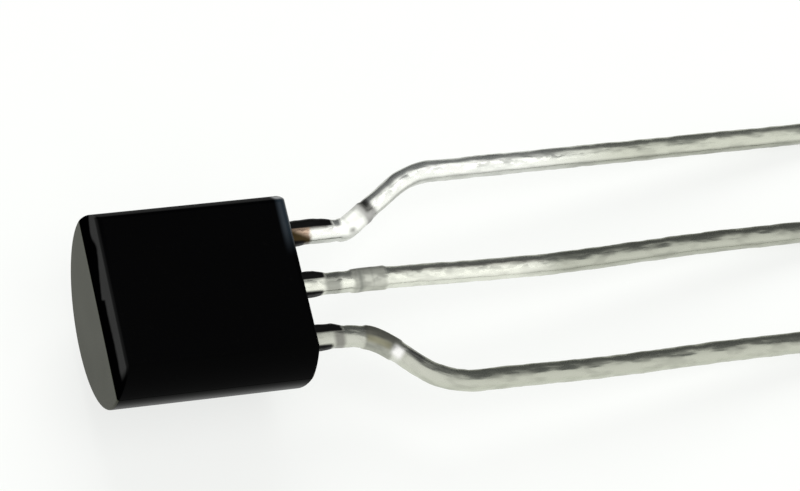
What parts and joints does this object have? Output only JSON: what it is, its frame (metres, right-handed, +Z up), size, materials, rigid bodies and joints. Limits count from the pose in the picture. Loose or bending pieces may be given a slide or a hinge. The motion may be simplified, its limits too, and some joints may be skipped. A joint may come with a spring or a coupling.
{
  "type": "voltage reference chip",
  "caption": "Voltage reference in a black half-round moulded package with spread tinned leads, lying flat side up as it comes to rest.",
  "frame": {"origin": "on the table, under the middle of the part's box as it lies at rest", "axes": "+X from the body towards the lead tips along the table, +Y across the leads towards the cathode lead, +Z up; the flat face looks up and leans by about 9 degrees towards the lead tips"},
  "size_m": [0.019, 0.0058, 0.0042],
  "materials": {
    "moulding_compound": "black moulded epoxy, faintly glossy on the flat, satin on the drafted end faces",
    "tinned_lead": "bright tin with a mottled, slightly uneven skin",
    "silicon": "dark polished silicon",
    "silver_attach": "cured silver-filled paste",
    "gold_wire": "bright drawn gold"
  },
  "bodies": {
    "root": {"moulded_body": "moulding_compound", "reference_lead": "tinned_lead", "anode_lead": "tinned_lead", "cathode_lead": "tinned_lead", "silicon_die": "silicon", "die_attach": "silver_attach", "reference_wire": "gold_wire", "cathode_wire": "gold_wire"}
  },
  "joints": []
}
